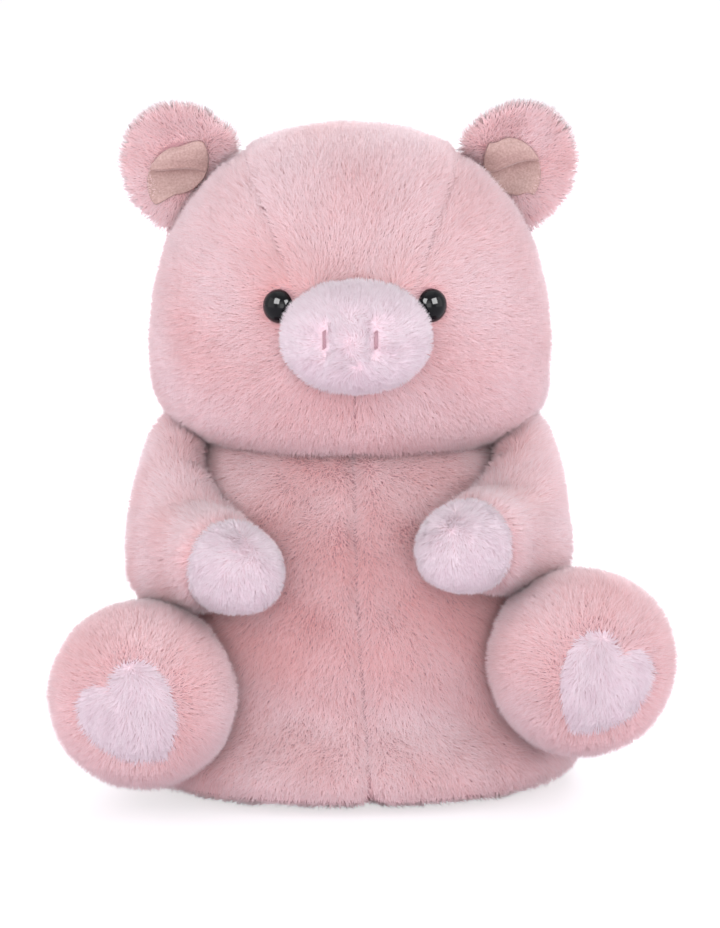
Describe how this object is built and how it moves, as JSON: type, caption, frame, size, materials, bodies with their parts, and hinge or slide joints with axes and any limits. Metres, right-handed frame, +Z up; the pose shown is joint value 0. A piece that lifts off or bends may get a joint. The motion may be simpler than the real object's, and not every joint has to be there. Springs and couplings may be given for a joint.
{
  "type": "plush pig",
  "caption": "Seated plush pig in rose pile fabric, with a pale snout, hands and heart-shaped foot pads, satin-lined ears, black safety eyes and soft stuffed limbs.",
  "frame": {"origin": "centre of the flat seat that the toy sits on", "axes": "+Z up, -Y the way the pig looks, +X to the pig's own left"},
  "size_m": [0.2245, 0.1892, 0.2436],
  "materials": {
    "rose_plush": "rose pink pile fabric, about 8 mm, matte with a soft sheen",
    "pale_plush": "pale lavender-pink pile fabric, clipped short, matte",
    "satin_lining": "beige-rose satin, soft gloss",
    "mauve_thread": "matte embroidery thread",
    "stuffing": "white polyester fibre",
    "pouch_cloth": "undyed woven cloth over pellets",
    "eye_plastic": "polished black",
    "washer_plastic": "plain white"
  },
  "bodies": {
    "torso": {"seat_panel": "rose_plush", "belly_panel_right": "rose_plush", "belly_panel_left": "rose_plush", "back_panel_right": "rose_plush", "back_panel_left": "rose_plush", "pellet_pouch": "pouch_cloth", "body_filling": "stuffing"},
    "head": {"eye_right": "eye_plastic", "eye_washer_right": "washer_plastic", "eye_left": "eye_plastic", "eye_washer_left": "washer_plastic", "forehead_panel": "rose_plush", "cheek_panel_right": "rose_plush", "nape_panel_right": "rose_plush", "cheek_panel_left": "rose_plush", "nape_panel_left": "rose_plush", "head_filling": "stuffing", "nostril_stitch_right": "mauve_thread", "nostril_stitch_left": "mauve_thread", "snout_cover": "pale_plush", "snout_filling": "stuffing"},
    "tail": {"tail_curl": "rose_plush"},
    "ear_right": {"ear_cover_right": "rose_plush", "ear_lining_right": "satin_lining"},
    "arm_right": {"arm_sleeve_right": "rose_plush", "hand_right": "pale_plush", "arm_filling_right": "stuffing"},
    "leg_right": {"leg_cover_right": "rose_plush", "foot_pad_right": "pale_plush", "leg_filling_right": "stuffing"},
    "ear_left": {"ear_cover_left": "rose_plush", "ear_lining_left": "satin_lining"},
    "arm_left": {"arm_sleeve_left": "rose_plush", "hand_left": "pale_plush", "arm_filling_left": "stuffing"},
    "leg_left": {"leg_cover_left": "rose_plush", "foot_pad_left": "pale_plush", "leg_filling_left": "stuffing"}
  },
  "joints": [
    {"name": "head_turn", "type": "hinge", "parent": "torso", "child": "head", "pos_m": [0, 0, 0.128], "axis": [0, -0.0872, 0.9962], "range_deg": [-25, 25], "stiffness_Nm_per_rad": 0.25},
    {"name": "ear_fold_right", "type": "hinge", "parent": "head", "child": "ear_right", "pos_m": [-0.049, 0.008, 0.21], "axis": [0.7071, 0, 0.7071], "range_deg": [-12, 20], "stiffness_Nm_per_rad": 0.05},
    {"name": "arm_lift_right", "type": "hinge", "parent": "torso", "child": "arm_right", "pos_m": [-0.0512, 0.00608, 0.10816], "axis": [-1, 0, 0], "range_deg": [0, 12], "stiffness_Nm_per_rad": 0.6},
    {"name": "leg_swing_right", "type": "hinge", "parent": "torso", "child": "leg_right", "pos_m": [-0.064, -0.024, 0.041], "axis": [0, 0, 1], "range_deg": [-14, 8], "stiffness_Nm_per_rad": 0.4},
    {"name": "ear_fold_left", "type": "hinge", "parent": "head", "child": "ear_left", "pos_m": [0.049, 0.008, 0.21], "axis": [0.7071, 0, -0.7071], "range_deg": [-12, 20], "stiffness_Nm_per_rad": 0.05},
    {"name": "arm_lift_left", "type": "hinge", "parent": "torso", "child": "arm_left", "pos_m": [0.0512, 0.00608, 0.10816], "axis": [-1, 0, 0], "range_deg": [0, 12], "stiffness_Nm_per_rad": 0.6},
    {"name": "leg_swing_left", "type": "hinge", "parent": "torso", "child": "leg_left", "pos_m": [0.064, -0.024, 0.0505], "axis": [0, 0, 1], "range_deg": [-8, 14], "stiffness_Nm_per_rad": 0.4},
    {"name": "tail_wag", "type": "hinge", "parent": "torso", "child": "tail", "pos_m": [0, 0.064, 0.046], "axis": [0, 0, 1], "range_deg": [-12, 12], "stiffness_Nm_per_rad": 0.02}
  ]
}
